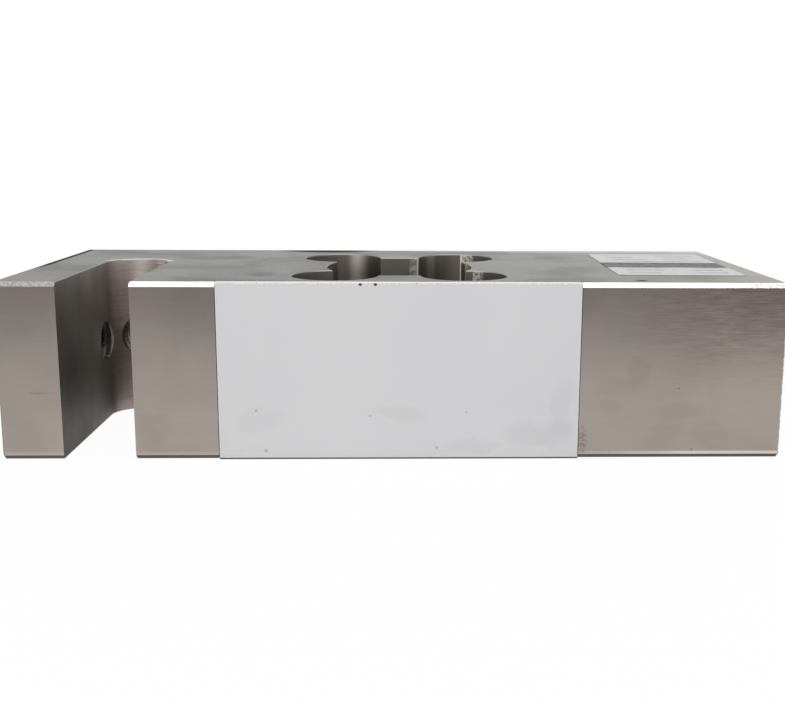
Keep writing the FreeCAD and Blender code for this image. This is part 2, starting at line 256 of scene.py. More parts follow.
def build_handling_marks(name):
    """Soft stains, small dents and hairline scratches from handling on the bench."""
    tree, given, result = group_shell(
        name,
        [("Position", "Vector", None), ("Stain Size", "Float", 0.02)],
        [("Stain", "Float"), ("Dent", "Float"), ("Scratch", "Float")],
    )
    spot = put(tree, "VectorMath", {0: given["Position"], 3: calc(tree, "DIVIDE", 1.0, given["Stain Size"])},
               operation="SCALE").outputs[0]
    stain = ramp(tree, noise(tree, spot, 1.0, 3.0, 0.5, 0.4), 0.35, 0.7)
    cells = put(tree, "TexVoronoi", {"Vector": given["Position"], "Scale": 95.0, "Randomness": 1.0})
    rare = ramp(tree, noise(tree, given["Position"], 60.0, 1.0), 0.58, 0.64)
    dent = calc(tree, "MULTIPLY", ramp(tree, cells.outputs["Distance"], 0.05, 0.0), rare)
    hair = stretched(tree, given["Position"], (14.0, 260.0, 260.0), (0.3, 0.1, 0.2))
    scratch = ramp(tree, noise(tree, hair, 6.0, 1.0, 0.4, 0.8), 0.74, 0.78)
    for socket, value in (("Stain", stain), ("Dent", dent), ("Scratch", scratch)):
        tree.links.new(value, result[socket])
    return tree


def build_fine_grain(name):
    """Fine even grain: peened metal, cast rubber or paper, by its size."""
    tree, given, result = group_shell(
        name, [("Position", "Vector", None), ("Grain Size", "Float", 0.0005)], [("Grain", "Float")]
    )
    spot = put(tree, "VectorMath", {0: given["Position"], 3: calc(tree, "DIVIDE", 1.0, given["Grain Size"])},
               operation="SCALE").outputs[0]
    tree.links.new(noise(tree, spot, 1.0, 2.0, 0.6), result["Grain"])
    return tree


def build_block_regions(name):
    """Which face of the block a point is on, from its place and the way it faces."""
    tree, given, result = group_shell(
        name,
        [("Position", "Vector", None), ("Facing", "Vector", None)],
        [("Flank", "Float"), ("Deck", "Float"), ("Edge", "Float"), ("Bore", "Float"), ("Slot", "Float"),
         ("Window", "Float")],
    )
    at = put(tree, "SeparateXYZ", {0: given["Position"]}).outputs
    facing = put(tree, "SeparateXYZ", {0: given["Facing"]}).outputs
    turn = {axis: calc(tree, "ABSOLUTE", facing[axis]) for axis in "XYZ"}
    away_x = calc(tree, "ABSOLUTE", at["X"])
    away_y = calc(tree, "ABSOLUTE", at["Y"])

    deck = calc(tree, "GREATER_THAN", turn["Z"], SQUARE_ON)
    outer_flank = calc(tree, "GREATER_THAN", away_y, BLOCK_HIGH.y - SKIN)
    outer_end = calc(tree, "GREATER_THAN", away_x, BLOCK_HIGH.x - SKIN)
    flank = calc(tree, "MULTIPLY", outer_flank, calc(tree, "GREATER_THAN", turn["Y"], SQUARE_ON))
    end = calc(tree, "MULTIPLY", outer_end, calc(tree, "GREATER_THAN", turn["X"], SQUARE_ON))
    sloping = both(tree, calc(tree, "GREATER_THAN", turn["Z"], 0.3),
                   calc(tree, "LESS_THAN", turn["Z"], SQUARE_ON))
    mid_height = BLOCK_HIGH.z / 2
    away_z = calc(tree, "ABSOLUTE", calc(tree, "SUBTRACT", at["Z"], mid_height))
    near_deck = calc(tree, "GREATER_THAN", away_z, mid_height - 1.2 * MM)
    upright_corner = both(tree, calc(tree, "GREATER_THAN", away_x, BLOCK_HIGH.x - 0.4 * MM),
                          calc(tree, "GREATER_THAN", turn["Y"], 0.4),
                          calc(tree, "GREATER_THAN", turn["X"], 0.4))
    edge = calc(tree, "MAXIMUM", calc(tree, "MULTIPLY", sloping, near_deck), upright_corner)
    outside = calc(tree, "MAXIMUM", calc(tree, "MAXIMUM", deck, flank), calc(tree, "MAXIMUM", end, edge))
    wall = calc(tree, "SUBTRACT", 1.0, outside)
    in_slot = both(tree, calc(tree, "LESS_THAN", at["X"], SLOT_HIGH.x + 0.6 * MM),
                   calc(tree, "GREATER_THAN", at["X"], SLOT_LOW.x - 0.35 * MM),
                   calc(tree, "LESS_THAN", at["Y"], SLOT_HIGH.y + 8.1 * MM))
    off_window = calc(tree, "ABSOLUTE", calc(tree, "SUBTRACT", at["Y"], WINDOW_Y))
    in_window = both(tree, calc(tree, "LESS_THAN", away_x, 38.0 * MM),
                     calc(tree, "LESS_THAN", off_window, 31.0 * MM))
    masks = {"Flank": flank, "Deck": deck, "Edge": edge,
             "Slot": calc(tree, "MULTIPLY", wall, in_slot), "Window": calc(tree, "MULTIPLY", wall, in_window)}
    masks["Bore"] = calc(tree, "SUBTRACT", wall, calc(tree, "ADD", masks["Slot"], masks["Window"]), clamp=True)
    for socket, value in masks.items():
        tree.links.new(value, result[socket])
    return tree


# ---- Materials ----
def blank_material(name):
    """A material with an empty Principled shader, its node tree, and the place and facing of each point."""
    material = bpy.data.materials.new(name)
    material.use_nodes = True
    tree = material.node_tree
    tree.nodes.clear()
    shader = put(tree, "BsdfPrincipled")
    put(tree, "OutputMaterial", {"Surface": shader.outputs[0]})
    where = put(tree, "TexCoord").outputs
    return material, tree, shader, where["Object"], where["Normal"]


def feed(tree, shader, colour=None, roughness=None, height=None, depth=0.00002, strength=1.0):
    """Links the varying parts of a finish to its shader."""
    if colour is not None:
        tree.links.new(colour, shader.inputs["Base Color"])
    if roughness is not None:
        tree.links.new(roughness, shader.inputs["Roughness"])
    if height is not None:
        bump = put(tree, "Bump", {"Height": height, "Distance": depth, "Strength": strength})
        tree.links.new(bump.outputs[0], shader.inputs["Normal"])


def flank_tone(tree, at, loose, milled, grain, finish):
    """Milled flanks, with painted shade darkening them towards the top and a painted reflection lightening them
    near the foot: cutter lines high on the right, smudges, a worn lower edge.
    """
    # Painted shade and reflection: the flank runs from a lighter foot, standing in for the reflected floor, to
    # a darker top, standing in for the dark room above.
    rise = ramp(tree, at["Z"], 0.0, BLOCK_HIGH.z, smooth=False)
    tone = tint(tree, ramp(tree, rise, 0.25, 1.1), (*finish.flank_foot_lit, 1), (*finish.flank_top_shaded, 1))
    corner = both(tree, ramp(tree, at["X"], 44 * MM, 74 * MM), ramp(tree, at["Z"], 15 * MM, 36 * MM))
    tone = tint(tree, calc(tree, "MULTIPLY", corner, 0.24), tone, TONES["upper corner"])
    lines = ramp(tree, milled, 0.38, 0.62, 0.83, 1.18, smooth=False)
    tone = shade(tree, tone, lines, calc(tree, "ADD", calc(tree, "MULTIPLY", corner, 0.9), 0.10))
    # Smudges, and one broad spot of painted shade on the left post.
    for x, z, wide, high, strength in FLANK_SMUDGES_AND_SHADE:
        spot = patch(tree, loose, (x, 0, z), (wide, 0, high))
        tone = tint(tree, calc(tree, "MULTIPLY", spot, strength), tone, TONES["flank smudge and shade"])
    soiled = both(tree, patch(tree, loose, (42.3, 0, 4.2), (1.2, 0, 4.8)), ramp(tree, grain, 0.30, 0.66), 0.48)
    tone = tint(tree, soiled, tone, TONES["soiled corner"])
    foot = both(tree, band(tree, at["Z"], 1.3, 0.55, 0.4),
                ramp(tree, at["X"], 41 * MM, 72 * MM, 0.15, 0.75))
    tone = tint(tree, foot, tone, TONES["worn foot"])
    for x, z in FLANK_PITS:
        pit = calc(tree, "MULTIPLY", patch(tree, loose, (x, 0, z), (0.42, 0, 0.3)), 0.5)
        tone = tint(tree, pit, tone, TONES["flank pit"])
    return tone


def deck_marks_and_shadows(tree, loose):
    """Dark marks on the decks: painted shadow along the back edge and at the back-left corner, a painted shadow
    line along the left rim, a nick near the label, faint stains.
    """
    # Painted shadow: a dark line along the back half of the left rim.
    rim = both(tree, band(tree, loose["X"], -87.5, 2.2, 0.55), ramp(tree, loose["Y"], -14 * MM, 0.0))
    marks = calc(tree, "MULTIPLY", rim, 0.8)
    for x, y, wide, deep, strength in DECK_STAINS_AND_SHADOWS:
        spot = calc(tree, "MULTIPLY", patch(tree, loose, (x, y, 0), (wide, deep, 0)), strength)
        marks = calc(tree, "MAXIMUM", marks, spot)
    return marks


def deck_tone(tree, at, ground, finish):
    """Ground decks: painted highlights make them paler to the right and along the back edge, and paint a bright
    line round the slot's end.
    """
    # Painted highlight: the deck grows paler towards the right end, most of all over its last 20 mm.
    along = ramp(tree, at["X"], BLOCK_LOW.x, BLOCK_HIGH.x, smooth=False)
    tone = tint(tree, along, (*[0.8 * c for c in finish.deck], 1), (*[1.5 * c for c in finish.deck], 1))
    tone = shade(tree, tone, ramp(tree, ground, 0.3, 0.7, 0.96, 1.05, smooth=False))
    tone = shade(tree, tone, ramp(tree, at["X"], 66 * MM, 87 * MM, 1.0, 1.7))
    # Painted highlight: a glint along the back edge, wider towards the right.
    inward = calc(tree, "SUBTRACT", BLOCK_HIGH.y, at["Y"])
    reach = ramp(tree, at["X"], -40 * MM, 85 * MM, 1.2 * MM, 11 * MM)
    glint = ramp(tree, calc(tree, "DIVIDE", inward, reach), 1.0, 0.35)
    tone = tint(tree, calc(tree, "MULTIPLY", glint, 0.8), tone, TONES["deck glint"])
    # Painted highlight: a bright line on the deck round the slot's end, broken by the grinding lines.
    out = put(tree, "CombineXYZ", {"X": calc(tree, "SUBTRACT", at["X"], (SLOT_LOW.x + SLOT_HIGH.x) / 2),
                                   "Y": calc(tree, "SUBTRACT", at["Y"], SLOT_HIGH.y)}).outputs[0]
    radius = put(tree, "VectorMath", {0: out}, operation="LENGTH").outputs["Value"]
    rim = both(tree, band(tree, radius, 8.8, 1.1, 0.5),
               calc(tree, "GREATER_THAN", at["Y"], SLOT_HIGH.y + 3.5 * MM), ramp(tree, ground, 0.35, 0.5))
    return tint(tree, calc(tree, "MULTIPLY", rim, 0.8), tone, TONES["slot rim highlight"])


def slot_tone(tree, at, facing, turned, finish):
    """Slot walls: dull mottled flats with painted shade, and a rounded end that shines red-brown under its
    turning lines, its shine painted in.
    """
    fall = ramp(tree, at["Z"], 0.0, BLOCK_HIGH.z, smooth=False)
    on_wall = put(tree, "CombineXYZ", {"X": at["Y"], "Y": at["Z"]}).outputs[0]
    mottle = noise(tree, stretched(tree, on_wall, (90, 60, 1)), 1.0, 3.0, 0.5)
    blotch = ramp(tree, mottle, 0.3, 0.7, 0.85, 1.15)
    # Painted shade: the walls are lighter near the top and darker low down and towards the front.
    inward = ramp(tree, at["Y"], -38 * MM, -10 * MM, -0.25, 0.0)
    level = calc(tree, "ADD", ramp(tree, fall, 0.5, 0.95, 1.0, 1.2), inward)
    level = calc(tree, "SUBTRACT", level, ramp(tree, fall, 0.35, 0.0, 0.0, 0.45))
    wall = shade(tree, (*finish.slot_wall, 1), calc(tree, "MULTIPLY", level, blotch))
    # Painted highlight: the rounded end is a lit copy of the wall's metal, brightest high up and at the very
    # foot.
    bend = ramp(tree, facing["Y"], -0.1, -0.8)
    shine = calc(tree, "ADD", ramp(tree, fall, 0.42, 0.62, 0.66, 1.0),
                 ramp(tree, fall, 0.12, 0.0, 0.0, 0.2))
    lines = ramp(tree, turned, 0.38, 0.62, 0.84, 1.16, smooth=False)
    end = shade(tree, (*finish.slot_bend_shine, 1), calc(tree, "MULTIPLY", shine, lines))
    tone = tint(tree, bend, wall, end)
    # Painted highlight: a near-white spot at the top of the rounded end, by the deck.
    lip = both(tree, patch(tree, at, (-60.6, 0, 39), (1.9, 0, 4.5)), ramp(tree, turned, 0.4, 0.6))
    return tint(tree, lip, tone, TONES["slot lip highlight"])


def window_tone(tree, at, facing, grain, finish):
    """Window walls: dull metal with upright bands where the lobes catch the light, some speckled."""
    tone = (*finish.window_wall, 1)
    back = calc(tree, "LESS_THAN", facing["Y"], -0.1)
    speckle = ramp(tree, grain, 0.42, 0.56, 0.25, 1.0)
    deep = calc(tree, "GREATER_THAN", at["Y"], WINDOW_Y)
    near = calc(tree, "SUBTRACT", 1.0, deep)
    deep_speckle, near_speckle = both(tree, deep, speckle), both(tree, near, speckle)
    bands = (
        (-10.3, 3.4, 0.0, 0.85, back), (5.0, 1.6, 0.5, 0.45, speckle), (6.0, 0.3, 0.5, 1.0, back),
        (9.6, 1.6, 0.3, 0.22, back), (18.2, 0.4, 0.5, 1.0, deep), (19.9, 1.7, 0.6, 0.95, deep_speckle),
        (19.9, 1.5, 0.6, 0.95, near_speckle),
    )
    for middle, half_width, core, strength, where in bands:
        light = calc(tree, "MULTIPLY", band(tree, at["X"], middle, half_width, core), strength)
        tone = tint(tree, both(tree, light, back, where), tone, TONES["window light"])
    return tone


def machined_block(finish):
    """Nickel-toned aluminium: milled flanks, ground decks, turned slot end, bright broken edges, with painted
    light and shade on its faces, edges and bores.
    """
    material, tree, shader, position, normal = blank_material("machined_aluminium_block")
    shader.inputs["Metallic"].default_value = 1.0
    at = put(tree, "SeparateXYZ", {0: position}).outputs
    facing = put(tree, "SeparateXYZ", {0: normal}).outputs
    region = place(tree, "block_regions", build_block_regions, {"Position": position, "Facing": normal})
    marks = marks_of(tree, position, 0.022)
    grain = grain_of(tree, position, 0.0006)
    milled = lines_of(tree, calc(tree, "ADD", at["X"], at["Y"]), at["Z"], 0.00034, 0.0045)
    ground = lines_of(tree, at["X"], at["Y"], 0.0008, 0.03)
    turned = lines_of(tree, at["X"], at["Z"], 0.0004, 0.009)

    loose = wavering(tree, position, 0.7 * MM, 500.0)
    upper = calc(tree, "MAXIMUM", region["Deck"], region["Edge"])
    deck_dark = calc(tree, "MULTIPLY", deck_marks_and_shadows(tree, loose), upper)
    colour = tint(tree, region["Deck"], flank_tone(tree, at, loose, milled, grain, finish),
                  deck_tone(tree, at, ground, finish))
    colour = tint(tree, region["Slot"], colour, slot_tone(tree, at, facing, turned, finish))
    colour = tint(tree, region["Window"], colour, window_tone(tree, at, facing, grain, finish))
    # Painted light in the plain bores: bright streaks painted low down, with painted shade above.
    strokes = noise(tree, stretched(tree, position, (1400, 1400, 150)), 1.0, 2.0, 0.6)
    bore = tint(tree, both(tree, ramp(tree, strokes, 0.52, 0.66), ramp(tree, at["Z"], 21 * MM, 14 * MM)),
                TONES["bore shade"], TONES["bore highlight"])
    colour = tint(tree, region["Bore"], colour, bore)
    colour = shade(tree, colour, ramp(tree, marks["Stain"], 0.0, 1.0, 1.04, 0.93, smooth=False))
    colour = tint(tree, calc(tree, "MULTIPLY", marks["Dent"], 0.7), colour, TONES["dark metal"])
    # Bare metal on the broken edges, brightened by a painted highlight; the outer flank edges and those on the
    # left post take the duller tone, with no highlight painted.
    outer = calc(tree, "GREATER_THAN", calc(tree, "ABSOLUTE", at["Y"]), BLOCK_HIGH.y - 1.2 * MM)
    post = calc(tree, "LESS_THAN", at["X"], SLOT_LOW.x)
    dull = shade(tree, (*finish.dull_edge, 1), ramp(tree, grain, 0.4, 0.6, 0.75, 1.05))
    edge = tint(tree, post, (*finish.bare_edge_highlight, 1), dull)
    edge = tint(tree, outer, (*finish.dull_edge, 1), edge)
    worn = both(tree, ramp(tree, at["X"], 66 * MM, 80 * MM), ramp(tree, grain, 0.42, 0.5), 0.75)
    edge = tint(tree, worn, edge, TONES["worn edge"])
    # Painted shade: the chamfers along the foot are made dark, standing in for the shade under the block.
    edge = tint(tree, calc(tree, "LESS_THAN", at["Z"], 1.5 * MM), edge, TONES["lower edge"])
    colour = tint(tree, region["Edge"], colour, edge)
    # The decks' painted shadows and marks, kept dark at grazing angles too.
    colour = tint(tree, deck_dark, colour, TONES["dark metal"])
    tree.links.new(grey(tree, calc(tree, "SUBTRACT", 1.0, deck_dark)), shader.inputs["Specular Tint"])

    rough = ramp(tree, marks["Stain"], 0.0, 1.0, 0.36, 0.46, smooth=False)
    rough = calc(tree, "ADD", rough, calc(tree, "MULTIPLY", calc(tree, "SUBTRACT", grain, 0.5), 0.12))
    rough = calc(tree, "ADD", rough, calc(tree, "MULTIPLY", region["Slot"], 0.16))
    rough = calc(tree, "SUBTRACT", rough, calc(tree, "MULTIPLY", region["Edge"], 0.08), clamp=True)

    lines = calc(tree, "ADD", both(tree, milled, region["Flank"]), both(tree, ground, 0.35, region["Deck"]))
    lines = calc(tree, "ADD", lines, both(tree, turned, region["Slot"]))
    relief = calc(tree, "ADD", lines, calc(tree, "MULTIPLY", grain, 0.35))
    relief = calc(tree, "SUBTRACT", relief, calc(tree, "MULTIPLY", marks["Dent"], 2.0))
    relief = calc(tree, "SUBTRACT", relief, calc(tree, "MULTIPLY", marks["Scratch"], 0.4))
    feed(tree, shader, colour, rough, relief, 0.000012)
    return material


def thread_metal(finish):
    """Tapped aluminium: painted highlights on the crests low in the bore, painted shade towards the top."""
    material, tree, shader, position, _ = blank_material("tapped_aluminium")
    shader.inputs["Metallic"].default_value = 1.0
    at = put(tree, "SeparateXYZ", {0: position}).outputs
    grain = grain_of(tree, position, 0.0012)
    # Painted light: the threads are bright low in the bore and dark higher up.
    low = ramp(tree, at["Z"], BLOCK_HIGH.z / 2 + 2 * MM, BLOCK_HIGH.z / 2 - 3 * MM)
    tone = tint(tree, low, TONES["thread shade"], (*finish.thread_crest_highlight, 1))
    feed(tree, shader, shade(tree, tone, ramp(tree, grain, 0.35, 0.65, 0.75, 1.0)),
         ramp(tree, grain, 0.3, 0.7, 0.24, 0.34), grain, 0.00001)
    return material


def potting_compound(finish):
    """White silicone trimmed flush: a ragged pale rim at the decks, a painted shadow line at the foot, smudges,
    specks in front.
    """
    material, tree, shader, position, _ = blank_material("white_compound_cast")
    shader.inputs["Specular IOR Level"].default_value = 0.35
    at = put(tree, "SeparateXYZ", {0: position}).outputs
    marks = marks_of(tree, position, 0.03)
    grain = grain_of(tree, position, 0.0009)
    loose = wavering(tree, position, 4 * MM, 130.0)
    lumps = calc(tree, "MULTIPLY", noise(tree, position, 900.0, 4.0, 0.7), 0.9 * MM)
    ragged = calc(tree, "ADD", at["Z"], lumps)
    rim = ramp(tree, ragged, BLOCK_HIGH.z + 0.05 * MM, BLOCK_HIGH.z + 0.25 * MM)
    crumbs = both(tree, rim, ramp(tree, noise(tree, position, 2600.0, 2.0), 0.60, 0.66))
    stained = calc(tree, "MULTIPLY", marks["Stain"], 0.3)
    colour = tint(tree, stained, (*finish.compound, 1), (*finish.compound_stain, 1))
    colour = tint(tree, rim, colour, TONES["compound rim"])
    colour = tint(tree, calc(tree, "MULTIPLY", crumbs, 0.6), colour, TONES["compound crumb"])
    for x, z, wide, high, strength in COMPOUND_SMUDGES:
        spot = calc(tree, "MULTIPLY", patch(tree, loose, (x, 0, z), (wide, 0, high)), strength)
        colour = tint(tree, spot, colour, TONES["compound smudge"])
    # Painted shadow: a dark line along the compound's foot, where it meets the floor.
    colour = tint(tree, ramp(tree, at["Z"], 0.42 * MM, 0.3 * MM), colour, TONES["compound foot shadow"])
    yellowed = calc(tree, "MULTIPLY", patch(tree, loose, (0, 0, 10.8), (8, 0, 2.6)), 0.12)
    colour = tint(tree, yellowed, colour, TONES["compound yellow"])
    front = calc(tree, "LESS_THAN", at["Y"], 0.0)
    for x, z, size, strength in COMPOUND_SPECKS:
        speck = both(tree, patch(tree, at, (x, 0, z), (size, 0, 0.85 * size)), front, strength)
        colour = tint(tree, speck, colour, TONES["compound speck"])
    relief = calc(tree, "ADD", calc(tree, "MULTIPLY", grain, 0.5), calc(tree, "MULTIPLY", rim, 2.0))
    feed(tree, shader, colour, ramp(tree, grain, 0.3, 0.7, 0.5, 0.62), relief, 0.00003)
    return material


def label_print(finish):
    """Satin white film, stuck on a little askew: a plain dark band across it, faint plain rules either side."""
    material, tree, shader, position, _ = blank_material("label_film_printed")
    shader.inputs["Specular IOR Level"].default_value = 0.14
    middle = (LABEL_LOW + LABEL_HIGH) / 2
    square_on = put(tree, "VectorRotate", {"Vector": position, "Center": middle, "Angle": LABEL_SKEW},
                    rotation_type="Z_AXIS").outputs[0]
    centred = put(tree, "VectorMath", {0: square_on, 1: middle}, operation="SUBTRACT").outputs[0]
    at = put(tree, "SeparateXYZ", {0: centred}).outputs
    grain = grain_of(tree, position, 0.0012)
    printed = band(tree, at["Y"], -3.3, 6.2, 0.85)
    spacing = calc(tree, "PINGPONG", calc(tree, "ADD", at["Y"], 1.0), 2.5 * MM)
    rule = calc(tree, "LESS_THAN", spacing, 0.7 * MM)
    broken = ramp(tree, noise(tree, stretched(tree, position, (110, 60, 1)), 1.0, 0.0), 0.40, 0.50)
    inside = both(tree, band(tree, at["X"], 0.5, 12.0, 0.97), band(tree, at["Y"], 0, 21, 0.97))
    colour = shade(tree, (*finish.label_film, 1), ramp(tree, grain, 0.3, 0.7, 1.0, 0.95))
    colour = tint(tree, both(tree, rule, inside, broken, 0.7), colour, TONES["label rule"])
    colour = tint(tree, printed, colour, (*finish.label_band, 1))
    feed(tree, shader, colour, ramp(tree, grain, 0.3, 0.7, 0.32, 0.42), grain, 0.00001)
    return material


def turned_brass():
    """Nickel-plated brass with turning rings on its end."""
    material, tree, shader, position, _ = blank_material("plated_brass_turned")
    shader.inputs["Metallic"].default_value = 1.0
    at = put(tree, "SeparateXYZ", {0: position}).outputs
    out = put(tree, "CombineXYZ", {"X": at["Y"], "Y": calc(tree, "SUBTRACT", at["Z"], 9 * MM)}).outputs[0]
    radius = put(tree, "VectorMath", {0: out}, operation="LENGTH").outputs["Value"]
    rings = calc(tree, "SINE", calc(tree, "MULTIPLY", radius, 2 * math.pi / (0.18 * MM)))
    colour = tint(tree, ramp(tree, rings, -1.0, 1.0), TONES["plating groove"], TONES["plating ridge"])
    feed(tree, shader, colour, ramp(tree, rings, -1.0, 1.0, 0.22, 0.3), rings, 0.000004)
    return material


def grained(name, colour, dark, rough, metallic, grain_size, depth):
    """A plain material with fine grain in its colour, roughness and relief."""
    material, tree, shader, position, _ = blank_material(name)
    shader.inputs["Metallic"].default_value = metallic
    grain = grain_of(tree, position, grain_size)
    mixed = tint(tree, ramp(tree, grain, 0.3, 0.7), (*dark, 1), (*colour, 1))
    feed(tree, shader, mixed, ramp(tree, grain, 0.3, 0.7, rough - 0.06, rough + 0.06), grain, depth)
    return material


def dress(node, material):
    """Puts a finish on a solid in place of its plain colour."""
    mesh = frame["nodes"][node].data
    if mesh.materials:
        for index in range(len(mesh.materials)):
            mesh.materials[index] = material
    else:
        mesh.materials.append(material)


def keep_piece(name, mesh_data, material):
    """Makes a finished mesh an object that rides on the cell."""
    mesh = bpy.data.meshes.new(name)
    bmesh.ops.recalc_face_normals(mesh_data, faces=mesh_data.faces)
    mesh_data.to_mesh(mesh)
    mesh_data.free()
    mesh.materials.append(material)
    piece = bpy.data.objects.new(name, mesh)
    bpy.context.scene.collection.objects.link(piece)
    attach(piece, "root")
    return piece


# ---- Threads ----
def thread_ridge(start, axis, radius, pitch, length, steps=36):
    """A helical ridge inside a bore: one tooth section spun round the axis as it climbs."""
    mesh = bmesh.new()
    side = axis.orthogonal().normalized()
    depth = 0.54 * pitch
    foot, crest = radius + 0.03 * MM, radius - depth
    section = [(foot, -0.44), (crest, -0.1), (crest, 0.1), (foot, 0.44)]
    first = start + axis * (0.5 * pitch)
    corners = [mesh.verts.new(first + side * out + axis * (along * pitch)) for out, along in section]
    tooth = mesh.faces.new(corners)
    turns = (length - pitch) / pitch
    count = max(1, round(turns * steps))
    bmesh.ops.spin(mesh, geom=[tooth], cent=first, axis=axis, dvec=axis * (turns * pitch / count),
                   angle=2 * math.pi * turns, steps=count, use_merge=False, use_duplicate=False)
    return mesh


class LoadCellFinish(bpy.types.PropertyGroup):
    """Colours of the finishes."""
    # The flanks' low and high tones are one metal, lit and shaded: painted reflection near the foot, painted
    # shade near the top.
    flank_foot_lit: FloatVectorProperty(name="Flank, Low", description="Metal tone near the foot of the flanks",
                                   subtype="COLOR", size=3, min=0, max=1, default=(0.36, 0.32, 0.285))
    flank_top_shaded: FloatVectorProperty(name="Flank, High", description="Metal tone near the top of the flanks",
                                    subtype="COLOR", size=3, min=0, max=1, default=(0.17, 0.145, 0.135))
    deck: FloatVectorProperty(name="Deck", description="Metal tone of the upper and lower faces",
                              subtype="COLOR", size=3, min=0, max=1, default=(0.118, 0.119, 0.108))
    # The slot bend's tone holds its painted shine.
    slot_bend_shine: FloatVectorProperty(name="Slot Bend", description="Metal tone of the end slot's rounded end",
                                   subtype="COLOR", size=3, min=0, max=1, default=(0.50, 0.43, 0.405))
    slot_wall: FloatVectorProperty(name="Slot Wall", description="Metal tone inside the end slot",
                                   subtype="COLOR", size=3, min=0, max=1, default=(0.23, 0.212, 0.19))
    window_wall: FloatVectorProperty(name="Window Wall", description="Metal tone inside the lobed window",
                                     subtype="COLOR", size=3, min=0, max=1, default=(0.20, 0.18, 0.16))
    # The broken edges' tone is bare metal with a painted highlight.
    bare_edge_highlight: FloatVectorProperty(name="Broken Edge", description="Bare metal of bright chamfers and rims",
                                     subtype="COLOR", size=3, min=0, max=1, default=(0.86, 0.84, 0.82))
    dull_edge: FloatVectorProperty(name="Dull Edge", description="Metal of the chamfers that stay grey",
                                   subtype="COLOR", size=3, min=0, max=1, default=(0.22, 0.212, 0.207))
    # The thread crests' tone is a painted highlight.
    thread_crest_highlight: FloatVectorProperty(name="Thread Crest", description="Metal of threads low in their bores",
                                      subtype="COLOR", size=3, min=0, max=1, default=(0.68, 0.65, 0.61))
    compound: FloatVectorProperty(name="Compound", description="Potting compound", subtype="COLOR", size=3,
                                  min=0, max=1, default=(0.685, 0.685, 0.695))
    compound_stain: FloatVectorProperty(name="Compound Stain", description="Soiling on the compound",
                                        subtype="COLOR", size=3, min=0, max=1, default=(0.61, 0.61, 0.63))
    label_film: FloatVectorProperty(name="Label Film", description="Label's unprinted film",
                                    subtype="COLOR", size=3, min=0, max=1, default=(0.56, 0.55, 0.555))
    label_band: FloatVectorProperty(name="Label Band", description="Label's printed band",
                                    subtype="COLOR", size=3, min=0, max=1, default=(0.035, 0.026, 0.03))


class LoadCellThreads(bpy.types.PropertyGroup):
    """Pitches of the tapped holes."""
    mount_pitch: FloatProperty(name="Mount Pitch", description="Pitch of the two mounting threads",
                               unit="LENGTH", min=0.0005, default=1.75 * MM)
    stop_pitch: FloatProperty(name="Stop Pitch", description="Pitch of the overload stop's thread",
                              unit="LENGTH", min=0.0005, default=1.5 * MM)
    steps: IntProperty(name="Steps per Turn", description="Facets in one turn of a thread", min=12, default=36)


class LoadCellStage(bpy.types.PropertyGroup):
    """Camera and light."""
    camera_place: FloatVectorProperty(name="Camera Place", description="Where the camera stands",
                                      subtype="TRANSLATION", unit="LENGTH", size=3,
                                      default=(0.00088, -0.27158, 0.06905))
    camera_pitch: FloatProperty(name="Camera Pitch", description="How far the camera looks down",
                                subtype="ANGLE", default=0.1890)
    camera_yaw: FloatProperty(name="Camera Yaw", description="How far the camera is turned to its left",
                              subtype="ANGLE", default=-0.0312)
    camera_roll: FloatProperty(name="Camera Roll", description="How far the camera is tilted", subtype="ANGLE",
                               default=0.0061)
    camera_lens: FloatProperty(name="Camera Lens", description="Focal length in millimetres on a 36 mm sensor",
                               min=10, default=49.15)
    camera_shift: FloatProperty(name="Camera Shift", default=-0.0501,
                                description="Sideways shift of the lens, as a share of the frame")
    room_level: FloatProperty(name="Room Level", description="Even light from all round", min=0, default=0.55)
    top_light: FloatProperty(name="Top Light", description="Power of the softbox overhead", unit="POWER", min=0,
                             default=4.2)
    front_light: FloatProperty(name="Front Light", description="Power of the softbox behind the camera",
                               unit="POWER", min=0, default=3.0)


# ---- Operators ----
class LOADCELL_OT_block(bpy.types.Operator):
    """Finish the machined block"""
    bl_idname = "loadcell.block"
    bl_label = "Finish Block"

    def execute(self, context):
        dress("load_cell_body", machined_block(context.scene.load_cell_finish))
        return {"FINISHED"}


class LOADCELL_OT_threads(bpy.types.Operator):
    """Cut the threads of the two mounting holes and the overload stop"""
    bl_idname = "loadcell.threads"
    bl_label = "Cut Threads"

    def execute(self, context):
        sizes = context.scene.load_cell_threads
        metal = thread_metal(context.scene.load_cell_finish)
        mouth_y = BLOCK_HIGH.y - 0.9 * MM
        plan = {
            "slot_mount_thread": ("Y", mouth_y, -1, sizes.mount_pitch, 2.1 * MM),
            "end_mount_thread": ("Y", mouth_y, -1, sizes.mount_pitch, 2.6 * MM),
            "stop_thread": ("X", BLOCK_LOW.x + 0.7 * MM, 1, sizes.stop_pitch, 0.1 * MM),
        }
        for name, (letter, mouth, way, pitch, run_out) in plan.items():
            hole = MOUNTS[name]
            start = Vector(hole["pos_m"])
            axis = Vector((letter == "X", letter == "Y", 0)) * way
            start["XY".index(letter)] = mouth
            length = hole["dims"]["length_mm"] * MM - run_out
            ridge = thread_ridge(start, axis, hole["dims"]["r_mm"] * MM, pitch, length, sizes.steps)
            keep_piece(name + "_ridge", ridge, metal)
        return {"FINISHED"}


class LOADCELL_OT_compound(bpy.types.Operator):
    """Finish the potting compound in both recesses and the cross bore"""
    bl_idname = "loadcell.compound"
    bl_label = "Finish Compound"

    def execute(self, context):
        compound = potting_compound(context.scene.load_cell_finish)
        for node in ("front_compound", "back_compound", "bore_filler"):
            dress(node, compound)
        return {"FINISHED"}


